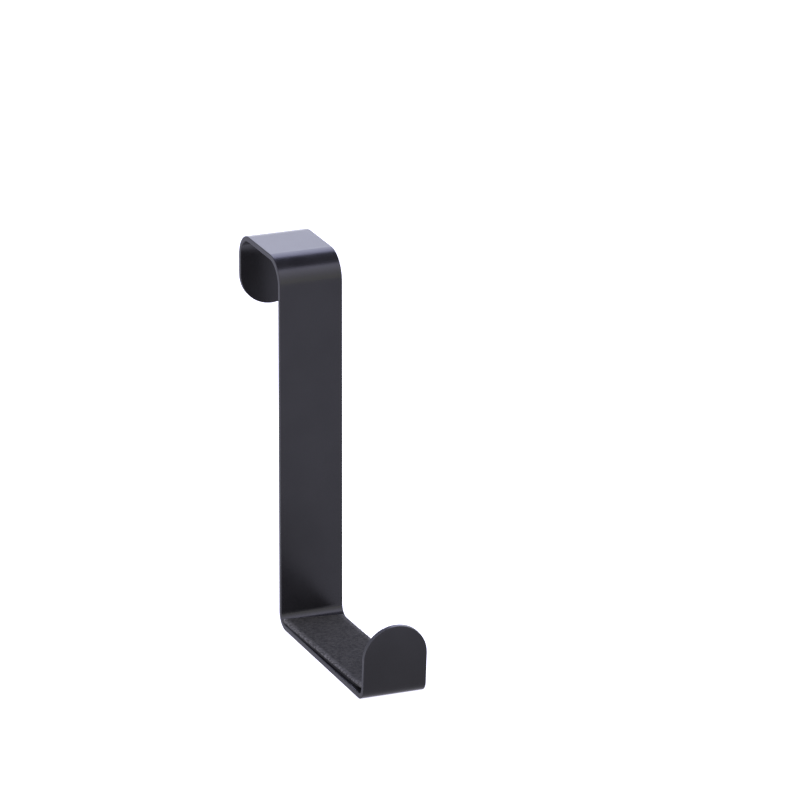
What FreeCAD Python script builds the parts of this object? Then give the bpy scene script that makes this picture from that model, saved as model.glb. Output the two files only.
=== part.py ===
import FreeCAD, Part
import math
import os

from FreeCAD import Vector

# Over door hook: one flat steel strip bent into a door saddle, a long shank and an
# upturned arm, with a thin felt pad stuck along the top of the arm.
#
# Frame: X runs across the strip, -Y points into the room, +Z is up. The origin is the
# middle of the underside of the top arm, where the hook sits on the door's top edge.

# Strip stock (mm)
strip_width = 25.0
strip_thickness = 2.0
struck_edge_round = 0.3
burr_edge_round = 0.2

# Saddle over the door
door_gap = 38.5
tab_drop = 30.0
tab_bend_radius = 8.0
shoulder_bend_radius = 8.5

# Shank, arm and upturned tip
hook_height = 145.0
arm_reach = 84.0
tip_length = 29.0
tip_lean_angle = 4.5
arm_bend_radius = 4.0
tip_bend_radius = 3.0

# Felt pad on the arm
pad_thickness = 1.6
pad_side_margin = 1.0
pad_skew_angle = 1.25
pad_curl_radius = 34.5
pad_front_curl_angle = 22.2
pad_front_clearance = 0.55
pad_rear_curl_angle = 11.6
pad_rear_clearance = 1.5
pad_rear_gap_left = 1.9
pad_rear_gap_right = 4.6

# Places that follow from the values above
half_thickness = strip_thickness / 2
half_width = strip_width / 2
half_pad = half_width - pad_side_margin
shank_back_y = -door_gap / 2
shank_front_y = shank_back_y - strip_thickness
tip_front_y = shank_back_y - arm_reach
tip_back_y = tip_front_y + strip_thickness
arm_bottom_z = strip_thickness - hook_height
arm_top_z = arm_bottom_z + strip_thickness


def centre_line_corners():
    """Corners of the strip's centre line seen from the side, from the tab to the tip."""
    tab_y = door_gap / 2 + half_thickness
    shank_y = shank_back_y - half_thickness
    tip_y = tip_front_y + half_thickness
    arm_z = arm_bottom_z + half_thickness
    lean = math.radians(tip_lean_angle)
    tip_run = tip_length - half_thickness
    return [
        Vector(0, tab_y, strip_thickness - tab_drop),
        Vector(0, tab_y, half_thickness),
        Vector(0, shank_y, half_thickness),
        Vector(0, shank_y, arm_z),
        Vector(0, tip_y, arm_z),
        Vector(0, tip_y - tip_run * math.sin(lean), arm_z + tip_run * math.cos(lean)),
    ]


def unit_steps(corners):
    """Direction of each straight run between neighbouring corners."""
    steps = []
    for start, end in zip(corners, corners[1:]):
        step = end - start
        step.normalize()
        steps.append(step)
    return steps


def left_of(step):
    """Sideways direction in the side view: the door side along the saddle and the shank."""
    return Vector(0, -step.z, step.y)


def shifted_corners(corners, distance):
    """Corners of a line that runs beside the given one, at an even distance."""
    steps = unit_steps(corners)
    shifted = [corners[0] + left_of(steps[0]) * distance]
    for index in range(1, len(steps)):
        before = left_of(steps[index - 1])
        after = left_of(steps[index])
        reach = distance / (1 + before.dot(after))
        shifted.append(corners[index] + (before + after) * reach)
    shifted.append(corners[-1] + left_of(steps[-1]) * distance)
    return shifted


def rounded_run(corners, radii):
    """Straight runs joined by tangent arcs, one radius for each inner corner."""
    steps = unit_steps(corners)
    edges = []
    start = corners[0]
    for index, radius in enumerate(radii):
        corner = corners[index + 1]
        turn = steps[index].getAngle(steps[index + 1])
        setback = radius * math.tan(turn / 2)
        arc_start = corner - steps[index] * setback
        arc_end = corner + steps[index + 1] * setback
        inward = steps[index + 1] - steps[index]
        inward.normalize()
        centre = corner + inward * (radius / math.cos(turn / 2))
        arc_middle = centre - inward * radius
        edges.append(Part.LineSegment(start, arc_start).toShape())
        edges.append(Part.Arc(arc_start, arc_middle, arc_end).toShape())
        start = arc_end
    edges.append(Part.LineSegment(start, corners[-1]).toShape())
    return edges


def burr_face_line(corners):
    """Side view of the face towards the door: inside the saddle and under the arm."""
    radii = [
        tab_bend_radius,
        shoulder_bend_radius,
        arm_bend_radius + strip_thickness,
        tip_bend_radius + strip_thickness,
    ]
    return rounded_run(shifted_corners(corners, half_thickness), radii)


def struck_face_line(corners):
    """Side view of the face towards the room: outside the saddle and on top of the arm."""
    radii = [
        tab_bend_radius + strip_thickness,
        shoulder_bend_radius + strip_thickness,
        arm_bend_radius,
        tip_bend_radius,
    ]
    return rounded_run(shifted_corners(corners, -half_thickness), radii)


def run_ends(edges):
    """First and last point of a run of edges."""
    first = edges[0]
    last = edges[-1]
    return first.valueAt(first.FirstParameter), last.valueAt(last.LastParameter)


def strip_blank():
    """The bent strip with square ends and sharp edges, extruded across its width."""
    corners = centre_line_corners()
    burr_face = burr_face_line(corners)
    struck_face = struck_face_line(corners)
    edges = burr_face + struck_face
    for burr_end, struck_end in zip(run_ends(burr_face), run_ends(struck_face)):
        edges.append(Part.LineSegment(burr_end, struck_end).toShape())
    outline = Part.Wire(Part.sortEdges(edges)[0])
    profile = Part.Face(outline)
    profile.translate(Vector(-half_width, 0, 0))
    return profile.extrude(Vector(strip_width, 0, 0))


def end_trimmer(end_point, outward):
    """What a half-round punch takes off one free end: a block with a round bite."""
    margin = 1.0
    depth = half_width + margin
    height = strip_thickness + 2 * margin
    block = Part.makeBox(strip_width + 2 * margin, depth, height)
    block.translate(Vector(-half_width - margin, -half_width, -height / 2))
    bite = Part.makeCylinder(half_width, height, Vector(0, -half_width, -height / 2))
    trimmer = block.cut(bite)
    across = Vector(1, 0, 0)
    turn = FreeCAD.Rotation(across, outward, across.cross(outward), "XYZ")
    trimmer.Placement = FreeCAD.Placement(end_point, turn)
    return trimmer


def sharp_edges(solid):
    """Edges where two faces meet at a corner, without the seams between tangent faces."""
    chosen = []
    for edge in solid.Edges:
        faces = solid.ancestorsOfType(edge, Part.Face)
        if len(faces) < 2:
            continue
        middle = edge.valueAt((edge.FirstParameter + edge.LastParameter) / 2)
        normals = [face.normalAt(*face.Surface.parameter(middle)) for face in faces]
        if normals[0].getAngle(normals[1]) > math.radians(30):
            chosen.append(edge)
    return chosen


def edges_beside(line, edges):
    """Those of the edges that lie on a line of the side view, seen across the strip."""
    chosen = []
    for edge in edges:
        middle = edge.valueAt((edge.FirstParameter + edge.LastParameter) / 2)
        spot = Part.Vertex(Vector(0, middle.y, middle.z))
        if line.distToShape(spot)[0] < strip_thickness / 4:
            chosen.append(edge)
    return chosen


def bent_strip():
    """The whole steel strip, with half-round ends and eased edges.

    The punch rolls the edges over on the face it strikes, which ends up on top of the
    saddle and of the arm, and leaves the tighter edges on the other face.
    """
    corners = centre_line_corners()
    steps = unit_steps(corners)
    strip = strip_blank()
    strip = strip.cut(end_trimmer(corners[0], steps[0] * -1))
    strip = strip.cut(end_trimmer(corners[-1], steps[-1]))
    struck_face = Part.Wire(struck_face_line(corners))
    strip = strip.makeFillet(struck_edge_round, edges_beside(struck_face, sharp_edges(strip)))
    burr_face = Part.Wire(burr_face_line(corners))
    return strip.makeFillet(burr_edge_round, edges_beside(burr_face, sharp_edges(strip)))


def curl_reach(radius, angle):
    """How far an end curl of the pad runs on past the flat middle."""
    return radius * math.sin(math.radians(angle))


def curl_point(flat_end_y, direction, radius, angle):
    """Point on an end curl of the pad, which turns up about a centre above its flat end."""
    y = flat_end_y + direction * curl_reach(radius, angle)
    centre_z = arm_top_z + pad_curl_radius
    return Vector(0, y, centre_z - radius * math.cos(math.radians(angle)))


def pad_side_edges(radius):
    """One face of the pad in the side view: rear curl, flat middle and front curl."""
    rear_run = pad_rear_clearance + curl_reach(pad_curl_radius, pad_rear_curl_angle)
    front_run = pad_front_clearance + curl_reach(pad_curl_radius, pad_front_curl_angle)
    rear_y = shank_front_y - rear_run
    front_y = tip_back_y + front_run
    rear = [curl_point(rear_y, 1, radius, pad_rear_curl_angle * part) for part in (1, 0.5, 0)]
    front = [curl_point(front_y, -1, radius, pad_front_curl_angle * part) for part in (0, 0.5, 1)]
    return [
        Part.Arc(*rear).toShape(),
        Part.LineSegment(rear[2], front[0]).toShape(),
        Part.Arc(*front).toShape(),
    ], rear[0], front[2]


def rear_cut():
    """The pad's rear end was cut askew, so it is nearer the shank on one side."""
    slope = (pad_rear_gap_left - pad_rear_gap_right) / (2 * half_pad)
    middle_y = shank_front_y - (pad_rear_gap_left + pad_rear_gap_right) / 2
    reach = strip_width
    low_z = arm_bottom_z - strip_width
    corners = [
        Vector(-reach, middle_y - slope * reach, low_z),
        Vector(reach, middle_y + slope * reach, low_z),
        Vector(reach, middle_y + 2 * reach, low_z),
        Vector(-reach, middle_y + 2 * reach, low_z),
    ]
    return Part.Face(Part.makePolygon(corners + corners[:1])).extrude(Vector(0, 0, 3 * reach))


def arm_pad():
    """Thin felt pad stuck slightly askew along the arm, its ends riding up on the bends."""
    lower_edges, lower_rear, lower_front = pad_side_edges(pad_curl_radius)
    upper_edges, upper_rear, upper_front = pad_side_edges(pad_curl_radius - pad_thickness)
    rear_end = Part.LineSegment(lower_rear, upper_rear).toShape()
    front_end = Part.LineSegment(lower_front, upper_front).toShape()
    outline = Part.sortEdges(lower_edges + upper_edges + [rear_end, front_end])[0]
    profile = Part.Face(Part.Wire(outline))
    profile.translate(Vector(-half_pad, 0, 0))
    pad = profile.extrude(Vector(2 * half_pad, 0, 0))
    arm_middle = Vector(0, (shank_front_y + tip_back_y) / 2, 0)
    pad.rotate(arm_middle, Vector(0, 0, 1), pad_skew_angle)
    return pad.cut(rear_cut())


os.makedirs("parts", exist_ok=True)
bent_strip().exportStep("parts/bent_strip.step")
arm_pad().exportStep("parts/arm_pad.step")
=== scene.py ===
import math

import bpy
from mathutils import Matrix, Vector, noise


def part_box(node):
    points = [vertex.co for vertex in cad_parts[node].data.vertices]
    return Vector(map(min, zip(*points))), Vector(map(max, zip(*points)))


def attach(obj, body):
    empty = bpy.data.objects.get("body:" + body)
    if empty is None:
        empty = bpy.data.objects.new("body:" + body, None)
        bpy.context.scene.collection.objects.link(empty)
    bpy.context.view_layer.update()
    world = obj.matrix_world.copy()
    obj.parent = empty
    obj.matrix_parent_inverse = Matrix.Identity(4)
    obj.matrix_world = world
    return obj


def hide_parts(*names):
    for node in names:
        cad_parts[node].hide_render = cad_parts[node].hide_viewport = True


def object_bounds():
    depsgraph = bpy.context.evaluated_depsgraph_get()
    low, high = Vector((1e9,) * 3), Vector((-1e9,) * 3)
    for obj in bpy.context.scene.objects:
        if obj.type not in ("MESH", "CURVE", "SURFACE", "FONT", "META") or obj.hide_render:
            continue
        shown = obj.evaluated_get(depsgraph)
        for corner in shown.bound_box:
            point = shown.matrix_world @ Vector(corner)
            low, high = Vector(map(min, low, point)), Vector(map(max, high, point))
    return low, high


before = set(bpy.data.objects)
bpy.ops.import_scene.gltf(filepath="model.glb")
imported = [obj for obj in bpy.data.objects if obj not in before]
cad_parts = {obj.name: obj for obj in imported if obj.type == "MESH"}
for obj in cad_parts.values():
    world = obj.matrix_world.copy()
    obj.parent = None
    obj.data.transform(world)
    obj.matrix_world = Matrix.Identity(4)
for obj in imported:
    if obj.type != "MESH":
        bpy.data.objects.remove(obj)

cad_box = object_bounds()


# The strip: 25 mm flat mild steel, punched with half-round ends and bent cold over
# four formers into the door saddle, the shank, the arm and the upturned tip.
# It is degreased and coated black, which dries to a smooth satin with a faint peel.
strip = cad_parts["bent_strip"]
coat_ior = 1.315
coat_specular_level = 0.5
coat_deep_black = (0.0046, 0.0045, 0.0048)
coat_thin_black = (0.0068, 0.0067, 0.0071)
coat_clouds_per_metre = 60.0
coat_roughness_low = 0.22
coat_roughness_high = 0.26
gloss_patches_per_metre = 140.0
sheared_side_roughness = 0.3
peel_lumps_per_metre = 900.0
peel_depth = 0.00001


def grey(level):
    """A neutral colour."""
    return (level, level, level)


def fresh_material(name):
    """A material that holds nothing but its surface shader."""
    material = bpy.data.materials.new(name)
    material.use_nodes = True
    nodes = material.node_tree.nodes
    nodes.clear()
    output = nodes.new("ShaderNodeOutputMaterial")
    surface = nodes.new("ShaderNodeBsdfPrincipled")
    material.node_tree.links.new(surface.outputs["BSDF"], output.inputs["Surface"])
    return material, surface


def feed(tree, socket, value):
    """Gives a socket its value: a link where it comes from another node, or a plain one."""
    if isinstance(value, bpy.types.NodeSocket):
        tree.links.new(value, socket)
    else:
        socket.default_value = value


def add_math(tree, operation, *values):
    """A number worked out from one to three others."""
    step = tree.nodes.new("ShaderNodeMath")
    step.operation = operation
    for socket, value in zip(step.inputs, values):
        feed(tree, socket, value)
    return step.outputs["Value"]


def add_noise(tree, lumps_per_metre, detail):
    """Soft noise that runs through the solid and stays with it, from 0 to 1."""
    place = tree.nodes.new("ShaderNodeTexCoord")
    grain = tree.nodes.new("ShaderNodeTexNoise")
    grain.inputs["Scale"].default_value = lumps_per_metre
    grain.inputs["Detail"].default_value = detail
    tree.links.new(place.outputs["Object"], grain.inputs["Vector"])
    return grain.outputs["Fac"]


def add_ramp(tree, value, stops):
    """A colour that changes with a value, through stops of a value and a colour each."""
    ramp = tree.nodes.new("ShaderNodeValToRGB")
    while len(ramp.color_ramp.elements) < len(stops):
        ramp.color_ramp.elements.new(0.5)
    for element, (position, colour) in zip(ramp.color_ramp.elements, stops):
        element.position = position
        element.color = (*colour, 1.0)
    tree.links.new(value, ramp.inputs["Fac"])
    return ramp.outputs["Color"]


def add_bump(tree, surface, height, depth):
    """Relief too fine to be in the mesh, as deep as is given in metres."""
    bump = tree.nodes.new("ShaderNodeBump")
    bump.inputs["Distance"].default_value = depth
    tree.links.new(height, bump.inputs["Height"])
    tree.links.new(bump.outputs["Normal"], surface.inputs["Normal"])


def satin_black_coat():
    """The coat lies smooth on the two faces and duller on the sheared sides of the strip."""
    coat, surface = fresh_material("satin_black_coat")
    tree = coat.node_tree
    surface.inputs["IOR"].default_value = coat_ior
    surface.inputs["Specular IOR Level"].default_value = coat_specular_level
    cloud = add_noise(tree, coat_clouds_per_metre, detail=3.0)
    black = add_ramp(tree, cloud, [(0.3, coat_deep_black), (0.7, coat_thin_black)])
    tree.links.new(black, surface.inputs["Base Color"])
    patch = add_noise(tree, gloss_patches_per_metre, detail=4.0)
    smooth = add_ramp(tree, patch, [(0.3, grey(coat_roughness_low)), (0.7, grey(coat_roughness_high))])
    facing = tree.nodes.new("ShaderNodeTexCoord")
    facing_parts = tree.nodes.new("ShaderNodeSeparateXYZ")
    tree.links.new(facing.outputs["Normal"], facing_parts.inputs["Vector"])
    sideways = add_math(tree, "ABSOLUTE", facing_parts.outputs["X"])
    sheared = add_ramp(tree, sideways, [(0.05, grey(0.0)), (0.5, grey(sheared_side_roughness))])
    tree.links.new(add_math(tree, "ADD", smooth, sheared), surface.inputs["Roughness"])
    add_bump(tree, surface, add_noise(tree, peel_lumps_per_metre, detail=2.0), peel_depth)
    return coat


strip.data.materials.clear()
strip.data.materials.append(satin_black_coat())


# The pad: a strip of short-pile felt about 1.6 mm thick, cut with a blade and glued a
# little askew along the arm, so that both of its ends ride up on the bends.
# Its blade-cut long sides are painted paler, as painted light, and go black at their foot as painted shade,
# where the gap under them lies in shadow.
shank_face_y = -0.02125
tip_face_y = -0.10125
pad_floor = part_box("arm_pad")[0].z
pad_thickness = 0.0016
pad_half_width = 0.0115
pad_skew = math.radians(1.25)
pad_turn_y = (shank_face_y + tip_face_y) / 2
pad_curl_radius = 0.0345
pad_front_turn = math.radians(22.2)
pad_front_clearance = 0.00055
pad_front_y = tip_face_y + pad_front_clearance
pad_front_bend_y = pad_front_y + pad_curl_radius * math.sin(pad_front_turn)
pad_rear_turn = math.radians(11.6)
pad_rear_clearance = 0.0015
pad_rear_y = shank_face_y - pad_rear_clearance
pad_rear_bend_y = pad_rear_y - pad_curl_radius * math.sin(pad_rear_turn)
pad_rear_gap_left = 0.0019
pad_rear_gap_right = 0.0046
pad_rear_left_y = shank_face_y - pad_rear_gap_left
pad_rear_right_y = shank_face_y - pad_rear_gap_right
pad_cell = 0.0004
pad_edge_round = 0.00035
pad_edge_drop = 0.6 * pad_edge_round
blade_stray = 0.00018
blade_strays_per_metre = 420
pile_lumps_per_metre = 700
pile_lump_height = 0.00007
pile_tuft_height = 0.00006
pile_tufts_per_lump = 3.1
noise_slice = 3.0


def pad_length_at(y):
    """Distance along the underside from the start of the rear curl, towards the front."""
    run = pad_rear_bend_y - y
    if run < 0:
        return -pad_curl_radius * math.asin(min(1.0, -run / pad_curl_radius))
    flat = pad_rear_bend_y - pad_front_bend_y
    if run <= flat:
        return run
    return flat + pad_curl_radius * math.asin(min(1.0, (run - flat) / pad_curl_radius))


def pad_rear_end(across):
    """Where the rear cut, drawn in the arm's own axes, crosses one lane of the turned pad."""
    slope = (pad_rear_right_y - pad_rear_left_y) / (2 * pad_half_width)
    middle = (pad_rear_left_y + pad_rear_right_y) / 2 - pad_turn_y
    cos_skew, sin_skew = math.cos(pad_skew), math.sin(pad_skew)
    return pad_turn_y + (middle + across * (slope * cos_skew - sin_skew)) / (cos_skew + slope * sin_skew)


def pad_point(x, length, height):
    """A point of the pad from its place along the underside and its height in the felt."""
    flat = pad_rear_bend_y - pad_front_bend_y
    start, turn, way = pad_rear_bend_y, 0.0, 0.0
    if length < 0:
        turn, way = -length / pad_curl_radius, 1.0
    elif length > flat:
        start, turn, way = pad_front_bend_y, (length - flat) / pad_curl_radius, -1.0
    else:
        start -= length
    radius = pad_curl_radius - height
    along = start + way * radius * math.sin(turn) - pad_turn_y
    z = pad_floor + pad_curl_radius - radius * math.cos(turn)
    cos_skew, sin_skew = math.cos(pad_skew), math.sin(pad_skew)
    return Vector((x * cos_skew - along * sin_skew, pad_turn_y + x * sin_skew + along * cos_skew, z))


def pad_section(lanes):
    """Places across the pad and levels in it, once round: its top, a side, its foot, a side."""
    top = [(-pad_half_width + 2 * pad_half_width * lane / lanes, 1.0) for lane in range(lanes + 1)]
    right_side = [(pad_half_width, 0.5), (pad_half_width, 0.0)]
    left_side = [(-pad_half_width, 0.0), (-pad_half_width, 0.5)]
    return top + right_side + left_side


def blade_wander(across, length, level):
    """How far the blade strayed sideways where it cut the two long sides."""
    side = across / pad_half_width
    if abs(side) < 0.999:
        return 0.0
    spot = Vector((length * blade_strays_per_metre, side * noise_slice, level))
    stray = noise.noise(spot) * blade_stray
    return stray if side > 0 else -stray


def pile_height(across, length, to_edge):
    """Height of the felt's top over the even thickness: rounded edges, lumps and tufts."""
    height = 0.0
    if to_edge < pad_edge_round:
        height -= pad_edge_drop * (1 - to_edge / pad_edge_round) ** 2
    spot = Vector((across * pile_lumps_per_metre, length * pile_lumps_per_metre, noise_slice))
    height += noise.noise(spot) * pile_lump_height
    height += noise.noise(spot * pile_tufts_per_lump) * pile_tuft_height
    return height


def felt_pad():
    """The felt as one closed skin, made of rings across it from the rear end to the front."""
    front = pad_length_at(pad_front_y)
    section = pad_section(round(2 * pad_half_width / pad_cell))
    rows = round(front / pad_cell)
    vertices, faces = [], []
    for row in range(rows + 1):
        for across, level in section:
            rear = pad_length_at(pad_rear_end(across))
            length = rear + (front - rear) * row / rows
            height = pad_thickness * level
            if level == 1.0:
                to_edge = min(pad_half_width - abs(across), length - rear, front - length)
                height += pile_height(across, length, to_edge)
            vertices.append(pad_point(across + blade_wander(across, length, level), length, height))
    count = len(section)
    for row in range(rows):
        near, far = row * count, (row + 1) * count
        for step in range(count):
            after = (step + 1) % count
            faces.append((near + step, near + after, far + after, far + step))
    faces.append(tuple(range(count)))
    faces.append(tuple(rows * count + step for step in reversed(range(count))))
    mesh = bpy.data.meshes.new("felt_pad")
    mesh.from_pydata(vertices, [], faces)
    mesh.update()
    for face in mesh.polygons:
        face.use_smooth = len(face.vertices) == 4
    pad = bpy.data.objects.new("felt_pad", mesh)
    bpy.context.scene.collection.objects.link(pad)
    return pad


felt_hollow = (0.0038, 0.0037, 0.0032)
felt_tuft = (0.0143, 0.0138, 0.0119)
felt_blotches_per_metre = 900.0
# Painted light: the cut sides are paler than the top, as if lit more strongly, with a random mottle.
painted_light_cut_hollow = (0.013, 0.0129, 0.0119)
painted_light_cut_tuft = (0.072, 0.0705, 0.066)
cut_blotches_per_metre = 1100.0
cut_fade_width = 0.0022
cut_full_width = 0.0001
cut_fades_in = pad_half_width - cut_fade_width
cut_full = pad_half_width - cut_full_width
# Painted shade: the foot of each cut side is black, where the gap under the pad lies in shadow; the band
# sits higher towards the front.
foot_shade_black = (0.001, 0.001, 0.001, 1.0)
foot_shade_rear_y = -0.023
foot_shade_climb = 0.006
foot_shade_base = pad_floor + foot_shade_climb * foot_shade_rear_y
foot_shade_black_share = 0.3
foot_shade_fade_share = 0.55
foot_shade_top_low = foot_shade_base + pad_thickness * foot_shade_black_share
foot_shade_top_high = foot_shade_base + pad_thickness * foot_shade_fade_share
fibres_per_metre = 2600.0
fibre_depth = 0.0002


def add_measure(tree, operation, place, other):
    """A number from a place and a fixed vector: their dot product, or how far apart they are."""
    measure = tree.nodes.new("ShaderNodeVectorMath")
    measure.operation = operation
    measure.inputs[1].default_value = other
    tree.links.new(place, measure.inputs[0])
    return measure.outputs["Value"]


def add_fade(tree, value, start, end):
    """A number that goes from 0 to 1 while a value goes from start to end."""
    fade = tree.nodes.new("ShaderNodeMapRange")
    fade.inputs["From Min"].default_value = start
    fade.inputs["From Max"].default_value = end
    tree.links.new(value, fade.inputs["Value"])
    return fade.outputs["Result"]


def add_mix(tree, share, first, second, blend="MIX"):
    """Two colours put together, with the given share of the second."""
    mix = tree.nodes.new("ShaderNodeMix")
    mix.data_type = "RGBA"
    mix.blend_type = blend
    feed(tree, mix.inputs["Factor"], share)
    feed(tree, mix.inputs["A"], first)
    feed(tree, mix.inputs["B"], second)
    return mix.outputs["Result"]


def dark_felt():
    """Dark grey pile on top, with cut sides painted paler as painted light, going black at their foot as
    painted shade.
    """
    felt, surface = fresh_material("dark_felt")
    tree = felt.node_tree
    surface.inputs["Roughness"].default_value = 0.95
    surface.inputs["Specular IOR Level"].default_value = 0.1
    surface.inputs["Sheen Weight"].default_value = 0.02
    surface.inputs["Sheen Roughness"].default_value = 0.6
    blotch = add_noise(tree, felt_blotches_per_metre, detail=6.0)
    pile = add_ramp(tree, blotch, [(0.38, felt_hollow), (0.62, felt_tuft)])
    # Painted light: the paler colour of the two cut sides.
    cut_blotch = add_noise(tree, cut_blotches_per_metre, detail=3.0)
    painted_light_cut_side = add_ramp(tree, cut_blotch, [(0.35, painted_light_cut_hollow), (0.65, painted_light_cut_tuft)])
    place = tree.nodes.new("ShaderNodeTexCoord")
    place_parts = tree.nodes.new("ShaderNodeSeparateXYZ")
    tree.links.new(place.outputs["Object"], place_parts.inputs["Vector"])
    along, upwards = place_parts.outputs["Y"], place_parts.outputs["Z"]
    # Painted shade: the foot of the cut sides goes black, higher towards the front.
    over_foot_shade = add_math(tree, "MULTIPLY_ADD", along, foot_shade_climb, upwards)
    shaded_cut_side = add_mix(tree, add_fade(tree, over_foot_shade, foot_shade_top_low, foot_shade_top_high), foot_shade_black, painted_light_cut_side)
    pad_right = (math.cos(pad_skew), math.sin(pad_skew), 0.0)
    across = add_measure(tree, "DOT_PRODUCT", place.outputs["Object"], pad_right)
    off_middle = add_math(tree, "SUBTRACT", across, pad_turn_y * math.sin(pad_skew))
    # Only the two long cut sides get the painted light and the painted shade.
    at_side = add_fade(tree, add_math(tree, "ABSOLUTE", off_middle), cut_fades_in, cut_full)
    tree.links.new(add_mix(tree, at_side, pile, shaded_cut_side), surface.inputs["Base Color"])
    add_bump(tree, surface, add_noise(tree, fibres_per_metre, detail=6.0), fibre_depth)
    return felt


pad = felt_pad()
pad.data.materials.append(dark_felt())
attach(pad, "root")
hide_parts("arm_pad")


# The studio: the hook stands on a wide white table that is also lit from below, so that
# no shadow shows on it. Just in front of the tip a round painted shadow darkens the table's
# colour; the tip's face mirrors it, which keeps the face dark.
table_level = cad_box[0].z
table_reach = 6.0
table_glow = (1.0, 0.985, 1.15, 1.0)
table_glow_strength = 1.04
table_white = (0.235, 0.235, 0.25)
# Painted shadow: a near-black round spot in the table's colour, just in front of the tip.
table_painted_shadow = grey(0.01)
table_painted_shadow_place = (0.006, -0.12, table_level)
table_painted_shadow_inner = 0.017
table_painted_shadow_outer = 0.045


def studio_table():
    """One flat square at the height of the hook's lowest point."""
    corners = [(-1, -1), (1, -1), (1, 1), (-1, 1)]
    places = [(x * table_reach, y * table_reach, table_level) for x, y in corners]
    mesh = bpy.data.meshes.new("floor")
    mesh.from_pydata(places, [], [(0, 1, 2, 3)])
    table = bpy.data.objects.new("floor", mesh)
    bpy.context.scene.collection.objects.link(table)
    white, surface = fresh_material("white_table")
    tree = white.node_tree
    place = tree.nodes.new("ShaderNodeTexCoord")
    # Painted shadow: the table's colour goes dark in a round spot in front of the tip.
    away = add_measure(tree, "DISTANCE", place.outputs["Object"], table_painted_shadow_place)
    shade = add_ramp(tree, away, [(table_painted_shadow_inner, table_painted_shadow), (table_painted_shadow_outer, table_white)])
    tree.links.new(shade, surface.inputs["Base Color"])
    surface.inputs["Emission Color"].default_value = table_glow
    surface.inputs["Emission Strength"].default_value = table_glow_strength
    surface.inputs["Roughness"].default_value = 0.9
    surface.inputs["Specular IOR Level"].default_value = 0.1
    mesh.materials.append(white)


studio_table()


# Round the table stand pale lit screens, up to 55 degrees and cooler towards the top, with
# a dark ceiling over them and a dark gap between two of them at the back left.
# Each row holds the sine of an angle above the table, how bright and how blue it is there.
screens = [
    (0.0, 0.6, 1.1),
    (0.24, 0.61, 1.22),
    (0.42, 0.7, 1.35),
    (0.6, 0.9, 1.42),
    (0.7, 1.05, 1.45),
    (0.8, 1.1, 1.55),
    (0.82, 0.1, 2.2),
    (0.86, 0.035, 2.0),
    (1.0, 0.03, 1.5),
]
screen_white = (0.75, 0.745, 0.75)
front_screen_tint = (1.14, 1.13, 0.96)
back_screen_tint = (1.0, 1.03, 1.0)
screen_strength = 5.05
back_screen_extra = 0.42
gap_direction = (-0.252, 0.941, 0.225)
gap_edge = 0.93
gap_middle = 0.965
gap_light = 0.08


def studio_screens():
    """The light of the screens, the ceiling and the gap, by direction from the hook."""
    world = bpy.data.worlds.new("screens")
    world.use_nodes = True
    bpy.context.scene.world = world
    tree = world.node_tree
    tree.nodes.clear()
    output = tree.nodes.new("ShaderNodeOutputWorld")
    background = tree.nodes.new("ShaderNodeBackground")
    tree.links.new(background.outputs["Background"], output.inputs["Surface"])
    way = tree.nodes.new("ShaderNodeTexCoord")
    way_parts = tree.nodes.new("ShaderNodeSeparateXYZ")
    tree.links.new(way.outputs["Generated"], way_parts.inputs["Vector"])
    red, green, blue = screen_white
    stops = [(height, (red * light, green * light, blue * light * cool)) for height, light, cool in screens]
    by_height = add_ramp(tree, way_parts.outputs["Z"], stops)
    tint = add_ramp(tree, way_parts.outputs["Y"], [(0.0, front_screen_tint), (0.5, back_screen_tint)])
    tree.links.new(add_mix(tree, 1.0, by_height, tint, "MULTIPLY"), background.inputs["Color"])
    strength = add_math(tree, "MULTIPLY_ADD", way_parts.outputs["Y"], back_screen_extra, screen_strength)
    gap = tree.nodes.new("ShaderNodeMapRange")
    gap.interpolation_type = "SMOOTHSTEP"
    gap.inputs["From Min"].default_value = gap_edge
    gap.inputs["From Max"].default_value = gap_middle
    gap.inputs["To Min"].default_value = 1.0
    gap.inputs["To Max"].default_value = gap_light
    towards_gap = add_measure(tree, "DOT_PRODUCT", way.outputs["Generated"], gap_direction)
    tree.links.new(towards_gap, gap.inputs["Value"])
    strength = add_math(tree, "MULTIPLY", strength, gap.outputs["Result"])
    tree.links.new(strength, background.inputs["Strength"])


studio_screens()


# The camera: a long lens from the front left and a little above, as the hook was seen.
# It is placed by one point of the shank, which falls on the given pixel of the picture.
picture_width = 800
picture_centre = Vector((picture_width / 2, picture_width / 2))
pixels_per_metre = 2679.63
camera_distance = 2.56479
camera_bearing = math.radians(22.406)
camera_pitch = math.radians(19.4227)
camera_roll = math.radians(-0.1316)
shank_place = Vector((0.0, -0.03225, -0.068))
shank_pixel = Vector((322.4456, 445.1914))

cos_bearing, sin_bearing = math.cos(camera_bearing), math.sin(camera_bearing)
cos_pitch, sin_pitch = math.cos(camera_pitch), math.sin(camera_pitch)
level_right = Vector((cos_bearing, -sin_bearing, 0.0))
forward = Vector((sin_bearing * cos_pitch, cos_bearing * cos_pitch, -sin_pitch))
level_down = forward.cross(level_right)
right = level_right * math.cos(camera_roll) + level_down * math.sin(camera_roll)
down = level_down * math.cos(camera_roll) - level_right * math.sin(camera_roll)
offset = (shank_pixel - picture_centre) / pixels_per_metre
camera_data = bpy.data.cameras.new("camera")
camera_data.sensor_width = 36.0
camera_data.lens = pixels_per_metre * camera_distance / picture_width * camera_data.sensor_width
camera_data.clip_start = 0.1
camera_data.clip_end = 40.0
camera = bpy.data.objects.new("camera", camera_data)
axes = Matrix((right, -down, -forward)).transposed()
camera.matrix_world = axes.to_4x4()
camera.location = shank_place - right * offset.x - down * offset.y - forward * camera_distance
bpy.context.scene.collection.objects.link(camera)
bpy.context.scene.camera = camera
bpy.context.scene.view_settings.view_transform = "Standard"
